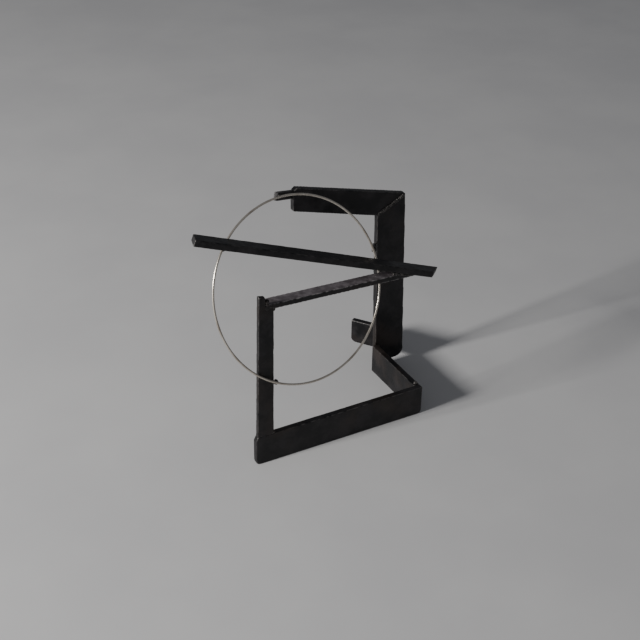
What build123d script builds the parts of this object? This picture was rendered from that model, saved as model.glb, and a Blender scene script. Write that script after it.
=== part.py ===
from build123d import *
import math
import os

os.makedirs("parts", exist_ok=True)

# Abstract desk sculpture: blackened flat-iron strips welded round a thin steel ring.
# X runs along the front bar, Y runs back from it, and Z is up.
# Lengths are in millimetres. The layout is set out from a corner of the board it was
# laid out on, and moved so that the origin is the middle of the plan box, on the floor.
PLAN_X = 119.61
PLAN_Y = 133.13

# Stock
BAR_T = 6.0           # thickness of the heavy flat bar
BAR_H = 30.0          # width of the heavy flat bar
BAR_R = 3.5           # rounding of its sawn corners
EDGE = 0.5            # broken edge of rolled bar
STRIP_W = 11.6        # width of the inclined strip
STRIP_T = 5.0         # thickness of the inclined strip
LONG_T = 6.0          # thickness of the long strip
RING_WIRE = 1.0       # radius of the ring's wire
RING_R = 82.9         # radius of the ring's centreline

# Base: two heavy bars on edge, in an L
FRONT_X0 = 37.2
FRONT_X1 = 212.0
FRONT_Y = 69.4
FRONT_END_CUT = 2.2
SIDE_X0 = 206.0
SIDE_Y1 = 153.7

# Tall post and the bar mitred to its head, both in one upright plane
TALL_Y = 153.7
TALL_FOOT_Z = 8.6
TALL_FOOT_X0 = 210.2
TALL_FOOT_X1 = 242.4
TALL_FOOT_R = 8.5
HEAD_OUT = (236.0, 191.6)
HEAD_IN = (206.0, 174.6)
TOP_END_HIGH = (118.4, 221.8)
TOP_END_LOW = (117.5, 198.9)
TOP_END_CUT = 3.0

# Rear bar, on edge, running back from the tall post; its ends in plan
REAR_NEAR = (237.5, 159.7)
REAR_FAR = (208.0, 199.7)
REAR_RIGHT = 241.6
REAR_Z = 8.6
REAR_H = 25.6

# Front post, a light strip that narrows a little towards its head
POST_FOOT = (38.9, 54.8)
POST_HEAD_X = 56.3
POST_T = 4.2
POST_TOP = 162.0
POST_HORN = (42.3, 48.5, 174.0)   # the corner left standing past the strip's end

# Long strip, laid flat across the ring and sloping down to the right
LONG_LEFT = (-1.6, 93.2, 227.2)
LONG_RIGHT = (227.0, 85.0, 143.4)
LONG_W = 14.0
LONG_SKEW_LEFT = 3.5     # how far each end is cut out of square
LONG_SKEW_RIGHT = 13.0

# Inclined strip, from the front post's head to the underside of the long strip
INCLINE_START = (49.0, 69.4, 165.0)
INCLINE_END = (191.0, 86.5, 149.4)
INCLINE_REACH = 24.0

# Ring, leaning back and turned slightly
RING_C = (93.6, 94.8, 154.9)
RING_N = (0.074, -0.928, 0.364)

# Short links of thin strip that hold the ring to the frame
LINK_W = 7.5
LINK_T = 4.0
TOP_LINK = ((87.0, 126.2, 232.6), (117.9, 156.4, 215.0))
SIDE_LINK = ((176.0, 108.6, 169.6), (205.9, 153.9, 141.6))


def at(x, y, z):
    """A layout point in the part's own frame."""
    return Vector(x - PLAN_X, y - PLAN_Y, z)


def upright(y):
    """An upright sketch plane at depth y, facing the front, its x and y being X and Z."""
    return Plane(origin=(0, y - PLAN_Y, 0), x_dir=(1, 0, 0), z_dir=(0, -1, 0))


def face_points(points):
    """Layout x and z pairs in an upright plane's own coordinates."""
    return [(x - PLAN_X, z) for x, z in points]


def section(start, end):
    """A sketch plane square to the line from start to end, its y as near up as it can be."""
    run = (end - start).normalized()
    side = run.cross(Vector(0, 0, 1)).normalized()
    return Plane(origin=start, x_dir=side, z_dir=run)


def strip_top(start, end):
    """The top face of a strip laid flat: x along it, y level across it to the back."""
    run = (end - start).normalized()
    back = Vector(0, 0, 1).cross(run).normalized()
    return Plane(origin=start, x_dir=run, z_dir=run.cross(back))


def ring_point(angle):
    """A point of the ring's centreline, angle in degrees from its right side, rising."""
    normal = Vector(*RING_N).normalized()
    across = Vector(0, 0, 1).cross(normal).normalized()
    rise = normal.cross(across)
    turn = math.radians(angle)
    swing = across * math.cos(turn) + rise * math.sin(turn)
    return at(*RING_C) + swing * RING_R


def save(piece, label):
    """Labels a finished piece and writes its file."""
    piece.label = label
    export_step(piece, f"parts/{label}.step")


def weld(label, start, end, radius, neighbours):
    """A rippled weld bead from start to end, seated against its neighbours."""
    run = (end - start).normalized()
    length = (end - start).length
    count = max(2, round(length / radius))
    pitch = length / count
    valley = 0.82 * radius
    tip = 0.6 * radius
    square_on = run.cross(Vector(0.1, 1, 0.2)).normalized()
    with BuildPart() as bead:
        with BuildSketch(Plane(origin=start, x_dir=run, z_dir=square_on)):
            with BuildLine():
                for ripple in range(count):
                    ThreePointArc(
                        (ripple * pitch, valley),
                        ((ripple + 0.5) * pitch, radius),
                        ((ripple + 1) * pitch, valley),
                    )
                Polyline((length, valley), (length + tip, 0), (-tip, 0), (0, valley))
            make_face()
        revolve(axis=Axis(start, run))
        for neighbour in neighbours:
            add(neighbour, mode=Mode.SUBTRACT)
    save(bead.part, label)


# Front bar, on edge, the left end's upper corner dressed off
with BuildPart() as front_bar:
    with BuildSketch(upright(FRONT_Y)):
        with BuildLine():
            Polyline(
                *face_points([
                    (FRONT_X0, 0),
                    (FRONT_X1, 0),
                    (FRONT_X1, BAR_H),
                    (FRONT_X0 + FRONT_END_CUT, BAR_H),
                    (FRONT_X0, BAR_H - 2 * FRONT_END_CUT),
                ]),
                close=True,
            )
        make_face()
    extrude(amount=-BAR_T)
    cross_edges = front_bar.edges().filter_by(Axis.Y)
    fillet(cross_edges.group_by(Axis.Z)[0], radius=BAR_R)
    fillet(front_bar.edges().filter_by(Axis.X), radius=EDGE)
save(front_bar.part, "front_bar")

# Side bar, on edge, butted behind the front bar near its right end
with BuildPart() as side_bar:
    side_plan = Plane(origin=at(SIDE_X0, FRONT_Y + BAR_T, 0))
    with BuildSketch(side_plan):
        Rectangle(BAR_T, SIDE_Y1 - FRONT_Y - BAR_T, align=(Align.MIN, Align.MIN))
    extrude(amount=BAR_H)
    fillet(side_bar.edges().filter_by(Axis.Y), radius=EDGE)
save(side_bar.part, "side_bar")

# Tall post, leaning a little to the left, its head cut for the mitre
with BuildPart() as tall_post:
    with BuildSketch(upright(TALL_Y)):
        with BuildLine():
            Polyline(
                *face_points([
                    (TALL_FOOT_X0, TALL_FOOT_Z),
                    (TALL_FOOT_X1, TALL_FOOT_Z),
                    HEAD_OUT,
                    HEAD_IN,
                ]),
                close=True,
            )
        make_face()
    extrude(amount=-BAR_T)
    foot_corner = tall_post.edges().filter_by(Axis.Y).group_by(Axis.Z)[0].sort_by(Axis.X)
    fillet(foot_corner[-1], radius=TALL_FOOT_R)
    fillet(foot_corner[0], radius=BAR_R / 2)
save(tall_post.part, "tall_post")

# Top bar, rising to the left from the mitre, its free upper corner cut off
with BuildPart() as top_bar:
    with BuildSketch(upright(TALL_Y)):
        with BuildLine():
            Polyline(
                *face_points([HEAD_IN, HEAD_OUT, TOP_END_HIGH, TOP_END_LOW]),
                close=True,
            )
        make_face()
    extrude(amount=-BAR_T)
    free_corners = top_bar.edges().filter_by(Axis.Y).sort_by(Axis.X)[:2].sort_by(Axis.Z)
    chamfer(free_corners[-1], length=TOP_END_CUT)
    fillet(free_corners[0], radius=1.5)
save(top_bar.part, "top_bar")

# Rear bar, on edge and clear of the floor, its far lower corner rounded
rear_run = Vector(REAR_FAR[0] - REAR_NEAR[0], REAR_FAR[1] - REAR_NEAR[1], 0).normalized()
rear_depth = Vector(rear_run.Y, -rear_run.X, 0) * BAR_T
with BuildPart() as rear_bar:
    rear_plan = Plane(origin=at(0, 0, REAR_Z))
    near_slope = (REAR_RIGHT - REAR_NEAR[0] - rear_depth.X) / rear_run.X
    near_corner = Vector(*REAR_NEAR, 0) + rear_depth + rear_run * near_slope
    far_corner = Vector(*REAR_FAR, 0) + rear_depth
    with BuildSketch(rear_plan):
        with BuildLine():
            Polyline(
                REAR_NEAR,
                (REAR_RIGHT, REAR_NEAR[1]),
                (near_corner.X, near_corner.Y),
                (far_corner.X, far_corner.Y),
                REAR_FAR,
                close=True,
            )
        make_face()
    extrude(amount=REAR_H)
    low_edges = rear_bar.edges().group_by(Axis.Z)[0].sort_by(Axis.Y)
    fillet(low_edges[-1], radius=BAR_R * 1.5)
save(rear_bar.part, "rear_bar")

# Long strip, a thin flat bar with its ends cut out of square
long_start = at(*LONG_LEFT)
long_end = at(*LONG_RIGHT)
long_length = (long_end - long_start).length
with BuildPart() as long_strip:
    with BuildSketch(strip_top(long_start, long_end)):
        with BuildLine():
            Polyline(
                (0, 0),
                (long_length, 0),
                (long_length + LONG_SKEW_RIGHT, LONG_W),
                (LONG_SKEW_LEFT, LONG_W),
                close=True,
            )
        make_face()
    extrude(amount=-LONG_T)
    long_sides = long_strip.edges().filter_by(lambda edge: edge.length > 0.9 * long_length)
    fillet(long_sides, radius=EDGE)
save(long_strip.part, "long_strip")

# Inclined strip, its right end cut to lie flat under the long strip
incline_start = at(*INCLINE_START)
incline_end = at(*INCLINE_END)
incline_length = (incline_end - incline_start).length
incline_top = strip_top(incline_start, incline_end)
with BuildPart() as inclined_strip:
    with BuildSketch(Plane(incline_start, x_dir=incline_top.x_dir, z_dir=-incline_top.y_dir)):
        with BuildLine():
            Polyline(
                (0, 0),
                (0, -STRIP_T),
                (incline_length + INCLINE_REACH, -STRIP_T),
                (incline_length + 1.5, 0),
                close=True,
            )
        make_face()
    extrude(amount=-STRIP_W)
    add(long_strip.part, mode=Mode.SUBTRACT)
save(inclined_strip.part, "inclined_strip")

# Front post, standing on the front bar with its face flush with the bar's
with BuildPart() as front_post:
    with BuildSketch(upright(FRONT_Y)):
        with BuildLine():
            Polyline(
                *face_points([
                    (POST_FOOT[0], BAR_H),
                    (POST_FOOT[1], BAR_H),
                    (POST_HEAD_X, POST_TOP),
                    (POST_HORN[1], POST_TOP),
                    (POST_HORN[1], POST_HORN[2] - 1.5),
                    (POST_HORN[0], POST_HORN[2]),
                ]),
                close=True,
            )
        make_face()
    extrude(amount=-POST_T)
    add(inclined_strip.part, mode=Mode.SUBTRACT)
save(front_post.part, "front_post")

# Ring of round wire
with BuildPart() as ring:
    ring_start = ring_point(0)
    ring_axis = Vector(*RING_N).normalized()
    start_out = (ring_start - at(*RING_C)).normalized()
    with BuildSketch(Plane(origin=ring_start, x_dir=start_out, z_dir=ring_axis.cross(start_out))):
        Circle(RING_WIRE)
    revolve(axis=Axis(at(*RING_C), ring_axis), revolution_arc=360)
save(ring.part, "ring")

# Links, cut to seat against the ring and the frame
links = {}
for link_name, ends, seats in (
    ("top_link", TOP_LINK, (ring, top_bar)),
    ("side_link", SIDE_LINK, (ring, tall_post)),
):
    link_start = at(*ends[0])
    link_end = at(*ends[1])
    with BuildPart() as link:
        with BuildSketch(section(link_start, link_end)):
            Rectangle(LINK_T, LINK_W)
        extrude(amount=(link_end - link_start).length)
        for seat in seats:
            add(seat.part, mode=Mode.SUBTRACT)
    links[link_name] = link.part
    save(link.part, link_name)

# Welds: name, start and end in layout coordinates, radius, and the pieces it is seated on
WELDS = (
    ("weld_corner_inside", (205.3, 76.1, 2.4), (205.3, 76.1, 27.6), 1.7, (front_bar, side_bar)),
    ("weld_corner_outside", (212.1, 75.9, 2.4), (212.1, 75.9, 27.0), 1.6, (front_bar, side_bar)),
    ("weld_corner_top", (208.0, 77.8, 30.2), (210.6, 77.8, 30.2), 1.8, (side_bar,)),
    ("weld_foot_back", (40.2, 74.3, 30.5), (51.0, 74.3, 30.5), 1.5, (front_bar, front_post)),
    ("weld_foot_right", (55.3, 70.4, 30.6), (55.3, 73.4, 30.6), 1.5, (front_bar, front_post)),
    ("weld_post_head", (50.2, 71.0, 168.8), (50.4, 71.6, 163.4), 2.2, (front_post, inclined_strip)),
    ("weld_post_side", (57.2, 70.9, 158.3), (57.0, 73.4, 158.3), 1.6, (front_post, inclined_strip)),
    ("weld_side_outside", (212.6, 153.2, 10.5), (212.6, 153.2, 28.4), 1.6, (side_bar, tall_post)),
    ("weld_side_inside", (209.4, 154.5, 10.5), (209.4, 154.5, 28.4), 1.6, (side_bar, tall_post)),
    ("weld_mitre_front", (234.3, 153.9, 190.2), (207.2, 153.9, 175.6), 1.8, (tall_post, top_bar)),
    ("weld_mitre_back", (234.3, 159.5, 190.2), (207.2, 159.5, 175.6), 1.8, (tall_post, top_bar)),
    ("weld_rear_inside", (236.6, 160.3, 10.4), (236.6, 160.3, 32.4), 1.6, (tall_post, rear_bar)),
    ("weld_rear_outside", (241.5, 160.3, 12.4), (241.5, 160.3, 32.4), 1.3, (tall_post, rear_bar)),
    ("weld_top_link", (115.8, 152.6, 216.6), (117.4, 153.4, 212.2), 1.9, (top_bar,)),
    ("weld_side_link", (205.6, 153.0, 146.4), (205.8, 153.2, 138.0), 1.7, (tall_post,)),
    ("weld_ring_top", (88.6, 125.7, 232.6), (91.4, 127.4, 231.6), 1.9, (ring,)),
    ("weld_ring_side", (175.9, 108.2, 171.4), (176.9, 108.6, 168.2), 1.7, (ring,)),
    ("weld_ring_front", (55.6, 68.4, 85.2), (57.4, 67.6, 87.2), 2.4, (ring, front_post)),
    ("weld_ring_left", (28.0, 107.8, 203.6), (30.4, 107.8, 207.0), 1.7, (ring, long_strip)),
    ("weld_ring_right", (177.0, 101.8, 155.4), (177.4, 102.4, 159.4), 1.7, (ring, long_strip)),
    ("weld_strips_front", (184.0, 87.4, 151.4), (205.0, 87.2, 145.4), 1.4,
     (long_strip, inclined_strip)),
)
for label, start, end, radius, neighbours in WELDS:
    touching = [neighbour.part for neighbour in neighbours] + list(links.values())
    weld(label, at(*start), at(*end), radius, touching)
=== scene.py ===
import math

import bmesh
import bpy
from mathutils import Matrix, Vector, noise


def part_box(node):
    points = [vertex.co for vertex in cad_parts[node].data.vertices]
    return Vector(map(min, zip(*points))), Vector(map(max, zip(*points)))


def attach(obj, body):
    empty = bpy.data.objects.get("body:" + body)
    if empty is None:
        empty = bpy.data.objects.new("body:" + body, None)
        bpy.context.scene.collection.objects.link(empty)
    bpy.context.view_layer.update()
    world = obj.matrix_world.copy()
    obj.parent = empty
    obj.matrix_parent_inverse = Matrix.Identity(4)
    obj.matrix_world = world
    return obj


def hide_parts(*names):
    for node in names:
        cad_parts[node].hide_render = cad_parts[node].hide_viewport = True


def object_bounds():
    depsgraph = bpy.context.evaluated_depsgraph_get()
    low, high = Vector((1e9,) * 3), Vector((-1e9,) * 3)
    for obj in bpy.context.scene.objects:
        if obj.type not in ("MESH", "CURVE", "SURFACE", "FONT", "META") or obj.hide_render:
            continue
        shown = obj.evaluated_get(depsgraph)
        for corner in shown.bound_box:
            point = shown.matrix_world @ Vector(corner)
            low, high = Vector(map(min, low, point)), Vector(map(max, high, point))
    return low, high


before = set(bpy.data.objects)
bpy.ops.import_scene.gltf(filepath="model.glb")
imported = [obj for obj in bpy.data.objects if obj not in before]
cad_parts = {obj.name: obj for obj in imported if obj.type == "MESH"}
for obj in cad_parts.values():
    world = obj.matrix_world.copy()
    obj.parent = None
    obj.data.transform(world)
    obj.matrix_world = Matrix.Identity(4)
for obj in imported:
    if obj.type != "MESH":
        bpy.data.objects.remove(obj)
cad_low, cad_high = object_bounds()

# Abstract desk sculpture of blackened flat iron and a thin bright ring, in metres.
MM = 0.001
BODY = "root"

# Pieces by the stock that they are cut from
HEAVY_BARS = ("front_bar", "side_bar", "tall_post", "top_bar", "rear_bar")
LIGHT_STRIPS = ("front_post", "long_strip", "top_link", "side_link")
WELDS = tuple(sorted(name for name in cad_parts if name.startswith("weld_")))

# How finely each kind of piece is worked
HEAVY_GRAIN = 0.80 * MM
STRIP_GRAIN = 0.55 * MM
WELD_GRAIN = 0.30 * MM

# How far each surface swells and sinks, and over what distance
ROLLED_UNEVENNESS = 0.10 * MM
WELD_UNEVENNESS = 0.38 * MM
HEAVY_WAVE = 9 * MM
STRIP_WAVE = 6 * MM
WELD_WAVE = 1.3 * MM
WAVE_FALLOFF = 0.8
WAVE_STEP = 2.0
WAVE_LAYERS = 3

# Ring
WIRE_RADIUS = 1.0 * MM
RING_NORMAL = Vector((0.074, -0.928, 0.364)).normalized()
RING_TURNS = 288
WIRE_SIDES = 20

# Camera
CAMERA_PLACE = Vector((-0.44028, -0.83617, 0.67983))
CAMERA_YAW = math.radians(28.59)
CAMERA_PITCH = math.radians(31.71)
CAMERA_ROLL = math.radians(0.697)
CAMERA_LENS = 67.4
CAMERA_SENSOR = 36.0

# Light and floor
LAMP_DISTANCE = 2.4
KEY_RISE = 0.412
KEY_FORWARD = -0.04
KEY_SIZE = 0.40
KEY_POWER = 72.0
FILL_PLACE = Vector((0.3, -2.4, 1.3))
FILL_SIZE = 1.6
FILL_POWER = 1.2
ROOM_STRENGTH = 0.15
FLOOR_REACH = 6.0


# ---------------------------------------------------------------- shader groups

def new_group(name, inputs, outputs):
    """An empty shader node group with float or colour sockets, and its two end nodes."""
    group = bpy.data.node_groups.new(name, "ShaderNodeTree")
    for label, kind, value in inputs:
        socket = group.interface.new_socket(label, in_out="INPUT", socket_type=kind)
        socket.default_value = value
    for label, kind in outputs:
        group.interface.new_socket(label, in_out="OUTPUT", socket_type=kind)
    return group, group.nodes.new("NodeGroupInput"), group.nodes.new("NodeGroupOutput")


def texture_noise(tree, vector, scale, detail, roughness=0.55):
    """A noise texture in object space; scale may be a number or a socket."""
    node = tree.nodes.new("ShaderNodeTexNoise")
    node.inputs["Detail"].default_value = detail
    node.inputs["Roughness"].default_value = roughness
    tree.links.new(vector, node.inputs["Vector"])
    if isinstance(scale, (int, float)):
        node.inputs["Scale"].default_value = scale
    else:
        tree.links.new(scale, node.inputs["Scale"])
    return node.outputs["Fac"]


def ramp(tree, value, low, high, to_low=0.0, to_high=1.0):
    """Maps value from low..high to to_low..to_high, smoothly and clamped."""
    node = tree.nodes.new("ShaderNodeMapRange")
    node.interpolation_type = "SMOOTHSTEP"
    settings = (("From Min", low), ("From Max", high), ("To Min", to_low), ("To Max", to_high))
    for label, number in settings:
        if isinstance(number, (int, float)):
            node.inputs[label].default_value = number
        else:
            tree.links.new(number, node.inputs[label])
    tree.links.new(value, node.inputs["Value"])
    return node.outputs["Result"]


def maths(tree, operation, first, second):
    """One arithmetic node; each operand is a number or a socket."""
    node = tree.nodes.new("ShaderNodeMath")
    node.operation = operation
    for slot, operand in enumerate((first, second)):
        if isinstance(operand, (int, float)):
            node.inputs[slot].default_value = operand
        else:
            tree.links.new(operand, node.inputs[slot])
    return node.outputs["Value"]


def mix_colour(tree, share, first, second):
    """A colour mixed from first to second by share; a colour is a tuple or a socket."""
    node = tree.nodes.new("ShaderNodeMix")
    node.data_type = "RGBA"
    tree.links.new(share, node.inputs["Factor"])
    for label, colour in (("A", first), ("B", second)):
        socket = [i for i in node.inputs if i.name == label and i.type == "RGBA"][0]
        if isinstance(colour, tuple):
            socket.default_value = colour
        else:
            tree.links.new(colour, socket)
    return [o for o in node.outputs if o.type == "RGBA"][0]


def build_mill_scale():
    """Blackened mill scale: dark blotches, brown stain, fine pits."""
    group, start, end = new_group(
        "mill_scale",
        (
            ("Dark", "NodeSocketColor", (0.006, 0.006, 0.007, 1)),
            ("Pale", "NodeSocketColor", (0.026, 0.024, 0.026, 1)),
            ("Stain", "NodeSocketColor", (0.050, 0.034, 0.026, 1)),
            ("Blotch Scale", "NodeSocketFloat", 60.0),
            ("Pit Scale", "NodeSocketFloat", 900.0),
            ("Stain Amount", "NodeSocketFloat", 0.4),
        ),
        (
            ("Color", "NodeSocketColor"),
            ("Roughness", "NodeSocketFloat"),
            ("Height", "NodeSocketFloat"),
        ),
    )
    place = group.nodes.new("ShaderNodeTexCoord").outputs["Object"]
    blotch = texture_noise(group, place, start.outputs["Blotch Scale"], 6.0, 0.62)
    pits = texture_noise(group, place, start.outputs["Pit Scale"], 4.0, 0.6)
    bands = texture_noise(group, place, 23.0, 3.0)
    base = mix_colour(
        group, ramp(group, blotch, 0.38, 0.66), start.outputs["Dark"], start.outputs["Pale"]
    )
    stain = maths(group, "MULTIPLY", ramp(group, bands, 0.50, 0.68), start.outputs["Stain Amount"])
    coloured = mix_colour(group, stain, base, start.outputs["Stain"])
    broad = ramp(group, blotch, 0.35, 0.65, 0.36, 0.54)
    fine = ramp(group, pits, 0.4, 0.7, -0.04, 0.08)
    rough = maths(group, "ADD", broad, fine)
    height = maths(group, "ADD", pits, maths(group, "MULTIPLY", blotch, 1.6))
    group.links.new(coloured, end.inputs["Color"])
    group.links.new(rough, end.inputs["Roughness"])
    group.links.new(height, end.inputs["Height"])
    return group


def build_edge_wear():
    """Where the surface turns outward, broken up by noise."""
    group, start, end = new_group(
        "edge_wear",
        (
            ("From", "NodeSocketFloat", 0.52),
            ("To", "NodeSocketFloat", 0.60),
            ("Broken Scale", "NodeSocketFloat", 180.0),
        ),
        (("Mask", "NodeSocketFloat"),),
    )
    place = group.nodes.new("ShaderNodeTexCoord").outputs["Object"]
    turn = group.nodes.new("ShaderNodeNewGeometry").outputs["Pointiness"]
    worn = ramp(group, turn, start.outputs["From"], start.outputs["To"])
    broken = ramp(
        group, texture_noise(group, place, start.outputs["Broken Scale"], 5.0), 0.36, 0.62
    )
    group.links.new(maths(group, "MULTIPLY", worn, broken), end.inputs["Mask"])
    return group


MILL_SCALE = build_mill_scale()
EDGE_WEAR = build_edge_wear()


# ---------------------------------------------------------------- materials

def placed(tree, group, **values):
    """A group placed in a material, its inputs named with underscores for spaces."""
    node = tree.nodes.new("ShaderNodeGroup")
    node.node_tree = group
    for label, value in values.items():
        node.inputs[label.replace("_", " ")].default_value = value
    return node


def bump(tree, height, strength, distance):
    """A bump node fed by height."""
    node = tree.nodes.new("ShaderNodeBump")
    node.inputs["Strength"].default_value = strength
    node.inputs["Distance"].default_value = distance
    tree.links.new(height, node.inputs["Height"])
    return node.outputs["Normal"]


def paint_lit_tops(tree, colour, lit_top):
    """Mixes colour towards a paler colour on the faces that look up; this is painted light, the top
    faces made lighter as if lit from above.
    """
    normal = tree.nodes.new("ShaderNodeNewGeometry").outputs["Normal"]
    parts = tree.nodes.new("ShaderNodeSeparateXYZ")
    tree.links.new(normal, parts.inputs["Vector"])
    return mix_colour(tree, ramp(tree, parts.outputs["Z"], 0.45, 0.85), colour, lit_top)


def blackened_iron(name, scale_values, wear_values, bare, metallic, bump_depth, lit_top=None):
    """Blackened iron with worn edges.

    bare is the colour of a worn edge, and the last argument gives the mill scale's colours painted
    on faces that look up, as painted light on a lit top.
    """
    material = bpy.data.materials.new(name)
    material.use_nodes = True
    tree = material.node_tree
    shader = tree.nodes["Principled BSDF"]
    scale = placed(tree, MILL_SCALE, **scale_values)
    wear = placed(tree, EDGE_WEAR, **wear_values)
    ground = scale.outputs["Color"]
    # Painted light: faces that look up are mixed towards paler mill scale colours, standing in for
    # the light on the top.
    if lit_top is not None:
        lit_top_scale = placed(tree, MILL_SCALE, **dict(scale_values, **lit_top))
        ground = paint_lit_tops(tree, ground, lit_top_scale.outputs["Color"])
    colour = mix_colour(tree, wear.outputs["Mask"], ground, bare)
    rough = maths(
        tree, "SUBTRACT", scale.outputs["Roughness"],
        maths(tree, "MULTIPLY", wear.outputs["Mask"], 0.12),
    )
    tree.links.new(colour, shader.inputs["Base Color"])
    tree.links.new(rough, shader.inputs["Roughness"])
    tree.links.new(bump(tree, scale.outputs["Height"], 0.35, bump_depth), shader.inputs["Normal"])
    shader.inputs["Metallic"].default_value = metallic
    shader.inputs["Specular IOR Level"].default_value = 0.45
    return material


def drawn_steel(name):
    """Bright drawn wire, slightly warm, dulled in patches and finely scratched."""
    material = bpy.data.materials.new(name)
    material.use_nodes = True
    tree = material.node_tree
    shader = tree.nodes["Principled BSDF"]
    place = tree.nodes.new("ShaderNodeTexCoord").outputs["Object"]
    dull = texture_noise(tree, place, 45.0, 5.0)
    scratch = texture_noise(tree, place, 1600.0, 3.0)
    colour = mix_colour(
        tree, ramp(tree, dull, 0.45, 0.68), (0.66, 0.61, 0.54, 1), (0.34, 0.29, 0.24, 1)
    )
    rough = ramp(tree, dull, 0.35, 0.7, 0.24, 0.44)
    tree.links.new(colour, shader.inputs["Base Color"])
    tree.links.new(rough, shader.inputs["Roughness"])
    tree.links.new(bump(tree, scratch, 0.18, 0.02 * MM), shader.inputs["Normal"])
    shader.inputs["Metallic"].default_value = 0.9
    return material


HEAVY_IRON = blackened_iron(
    "heavy_iron",
    {"Blotch_Scale": 60.0, "Pit_Scale": 900.0, "Stain_Amount": 0.35},
    {"From": 0.515, "To": 0.58, "Broken_Scale": 170.0},
    bare=(0.16, 0.15, 0.145, 1), metallic=0.35, bump_depth=0.06 * MM,
)
STRIP_IRON = blackened_iron(
    "strip_iron",
    {"Blotch_Scale": 95.0, "Pit_Scale": 1200.0, "Stain_Amount": 0.30},
    {"From": 0.515, "To": 0.58, "Broken_Scale": 240.0},
    bare=(0.18, 0.17, 0.165, 1), metallic=0.35, bump_depth=0.05 * MM,
)
# Weld beads: the paler blotch colour is partly bare weld metal and partly a painted highlight on the
# beads.
WELD_METAL = blackened_iron(
    "weld_metal",
    {"Blotch_Scale": 260.0, "Pit_Scale": 1500.0, "Stain_Amount": 0.55,
     "Pale": (0.120, 0.112, 0.108, 1)},
    {"From": 0.52, "To": 0.62, "Broken_Scale": 420.0},
    bare=(0.26, 0.24, 0.23, 1), metallic=0.55, bump_depth=0.05 * MM,
)
# Iron for the inclined strip: its up-facing faces are painted paler as painted light, and its edges
# are worn.
IRON_PAINTED_LIT_TOP = blackened_iron(
    "iron_painted_lit_top",
    {"Blotch_Scale": 130.0, "Pit_Scale": 1300.0, "Stain_Amount": 0.25},
    {"From": 0.508, "To": 0.55, "Broken_Scale": 260.0},
    bare=(0.36, 0.34, 0.34, 1), metallic=0.30, bump_depth=0.07 * MM,
    lit_top={"Dark": (0.115, 0.100, 0.110, 1), "Pale": (0.230, 0.208, 0.224, 1)},
)
RING_STEEL = drawn_steel("ring_steel")


# ---------------------------------------------------------------- pieces

def worked_surface(node_name, label, grain, unevenness, wave, material):
    """A denser copy of a bar or bead, its edges softened and its faces slightly uneven."""
    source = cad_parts[node_name]
    mesh = source.data.copy()
    mesh.name = label
    piece = bpy.data.objects.new(label, mesh)
    bpy.context.scene.collection.objects.link(piece)
    remesh = piece.modifiers.new("even_mesh", "REMESH")
    remesh.mode = "VOXEL"
    remesh.voxel_size = grain
    remesh.use_smooth_shade = True
    smooth = piece.modifiers.new("soft_edges", "SMOOTH")
    smooth.factor = 0.5
    smooth.iterations = 1
    graph = bpy.context.evaluated_depsgraph_get()
    finished = bpy.data.meshes.new_from_object(piece.evaluated_get(graph))
    piece.modifiers.clear()
    piece.data = finished
    low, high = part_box(node_name)
    rest = [(vertex.co.copy(), vertex.normal.copy()) for vertex in finished.vertices]
    moved = []
    for place, outward in rest:
        swell = noise.fractal(place / wave, WAVE_FALLOFF, WAVE_STEP, WAVE_LAYERS)
        point = place + outward * (swell * unevenness)
        moved.extend(min(max(point[i], low[i]), high[i]) for i in range(3))
    finished.vertices.foreach_set("co", moved)
    finished.update()
    for polygon in finished.polygons:
        polygon.use_smooth = True
    finished.materials.clear()
    finished.materials.append(material)
    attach(piece, BODY)
    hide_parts(node_name)


def wire_ring():
    """The ring as a round wire, with no visible joint."""
    low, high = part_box("ring")
    centre = (low + high) / 2
    across = Vector((0, 0, 1)).cross(RING_NORMAL).normalized()
    rise = RING_NORMAL.cross(across)
    half_width = (high.x - low.x) / 2 - WIRE_RADIUS
    radius = half_width / math.sqrt(1 - RING_NORMAL.x ** 2)
    shape = bmesh.new()
    loops = []
    for turn in range(RING_TURNS):
        angle = 2 * math.pi * turn / RING_TURNS
        outward = across * math.cos(angle) + rise * math.sin(angle)
        loop = []
        for side in range(WIRE_SIDES):
            round_wire = 2 * math.pi * side / WIRE_SIDES
            offset = outward * math.cos(round_wire) + RING_NORMAL * math.sin(round_wire)
            place = centre + outward * radius + offset * WIRE_RADIUS
            loop.append(shape.verts.new(place))
        loops.append(loop)
    for turn in range(RING_TURNS):
        here, there = loops[turn], loops[(turn + 1) % RING_TURNS]
        for side in range(WIRE_SIDES):
            after = (side + 1) % WIRE_SIDES
            shape.faces.new((here[side], there[side], there[after], here[after]))
    bmesh.ops.recalc_face_normals(shape, faces=shape.faces)
    mesh = bpy.data.meshes.new("ring_wire")
    shape.to_mesh(mesh)
    shape.free()
    for polygon in mesh.polygons:
        polygon.use_smooth = True
    mesh.materials.append(RING_STEEL)
    piece = bpy.data.objects.new("ring_wire", mesh)
    bpy.context.scene.collection.objects.link(piece)
    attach(piece, BODY)
    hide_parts("ring")


for bar in HEAVY_BARS:
    worked_surface(
        bar, bar + "_rolled", HEAVY_GRAIN, ROLLED_UNEVENNESS, HEAVY_WAVE, HEAVY_IRON
    )
for strip in LIGHT_STRIPS:
    worked_surface(
        strip, strip + "_rolled", STRIP_GRAIN, ROLLED_UNEVENNESS, STRIP_WAVE, STRIP_IRON
    )
# The inclined strip uses the iron whose top faces carry painted light.
worked_surface(
    "inclined_strip", "inclined_strip_rolled", STRIP_GRAIN, ROLLED_UNEVENNESS, STRIP_WAVE,
    IRON_PAINTED_LIT_TOP,
)
for bead in WELDS:
    worked_surface(
        bead, bead + "_bead", WELD_GRAIN, WELD_UNEVENNESS, WELD_WAVE, WELD_METAL
    )
wire_ring()


# ---------------------------------------------------------------- floor, light, camera

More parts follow.
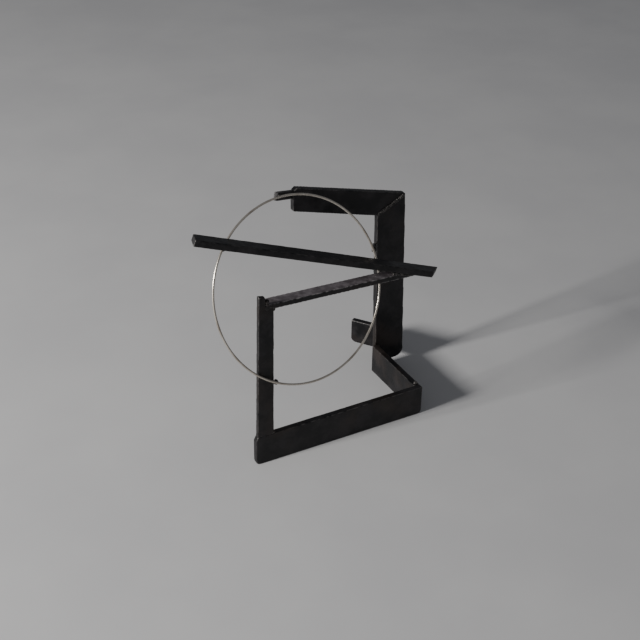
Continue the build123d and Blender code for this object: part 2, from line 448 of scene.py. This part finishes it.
def floor_material():
    """Pale matt paint with a very slight mottle."""
    material = bpy.data.materials.new("pale_floor")
    material.use_nodes = True
    tree = material.node_tree
    shader = tree.nodes["Principled BSDF"]
    place = tree.nodes.new("ShaderNodeTexCoord").outputs["Object"]
    mottle = texture_noise(tree, place, 6.0, 4.0)
    colour = mix_colour(
        tree, ramp(tree, mottle, 0.3, 0.7), (0.56, 0.56, 0.57, 1), (0.60, 0.60, 0.605, 1)
    )
    tree.links.new(colour, shader.inputs["Base Color"])
    shader.inputs["Roughness"].default_value = 0.8
    shader.inputs["Specular IOR Level"].default_value = 0.2
    return material


def pale_floor():
    """A wide plane at the height of the lowest point of the sculpture."""
    signs = ((-1, -1), (1, -1), (1, 1), (-1, 1))
    corners = [(x * FLOOR_REACH, y * FLOOR_REACH, 0) for x, y in signs]
    mesh = bpy.data.meshes.new("floor")
    mesh.from_pydata(corners, [], [(0, 1, 2, 3)])
    mesh.materials.append(floor_material())
    floor = bpy.data.objects.new("floor", mesh)
    floor.location.z = cad_low.z
    bpy.context.scene.collection.objects.link(floor)


def soft_light(name, place, target, size, power, colour):
    """A square area light aimed at a target."""
    lamp = bpy.data.lights.new(name, "AREA")
    lamp.size = size
    lamp.energy = power
    lamp.color = colour
    holder = bpy.data.objects.new(name, lamp)
    holder.location = place
    holder.rotation_euler = (target - place).to_track_quat("-Z", "Y").to_euler()
    bpy.context.scene.collection.objects.link(holder)


def studio_light():
    """A low key from the left, a weak fill from the front, and a pale room."""
    middle = (cad_low + cad_high) / 2
    toward_key = Vector((-math.cos(KEY_RISE), KEY_FORWARD, math.sin(KEY_RISE)))
    key_place = middle + toward_key * LAMP_DISTANCE
    soft_light("key_left", key_place, middle, KEY_SIZE, KEY_POWER, (1.0, 0.98, 0.95))
    soft_light("fill_front", middle + FILL_PLACE, middle, FILL_SIZE, FILL_POWER, (0.95, 0.97, 1.0))
    world = bpy.data.worlds.new("room")
    world.use_nodes = True
    room = world.node_tree.nodes["Background"]
    room.inputs["Color"].default_value = (0.92, 0.94, 1.0, 1)
    room.inputs["Strength"].default_value = ROOM_STRENGTH
    bpy.context.scene.world = world


def view_camera():
    """A camera above and to the left of the front, looking down at the sculpture."""
    lens = bpy.data.cameras.new("view")
    lens.lens = CAMERA_LENS
    lens.sensor_width = CAMERA_SENSOR
    camera = bpy.data.objects.new("view", lens)
    turn = Matrix.Rotation(-CAMERA_YAW, 4, "Z") @ Matrix.Rotation(math.pi / 2 - CAMERA_PITCH, 4, "X")
    turn = turn @ Matrix.Rotation(CAMERA_ROLL, 4, "Z")
    camera.matrix_world = Matrix.Translation(CAMERA_PLACE) @ turn
    bpy.context.scene.collection.objects.link(camera)
    bpy.context.scene.camera = camera


pale_floor()
studio_light()
view_camera()
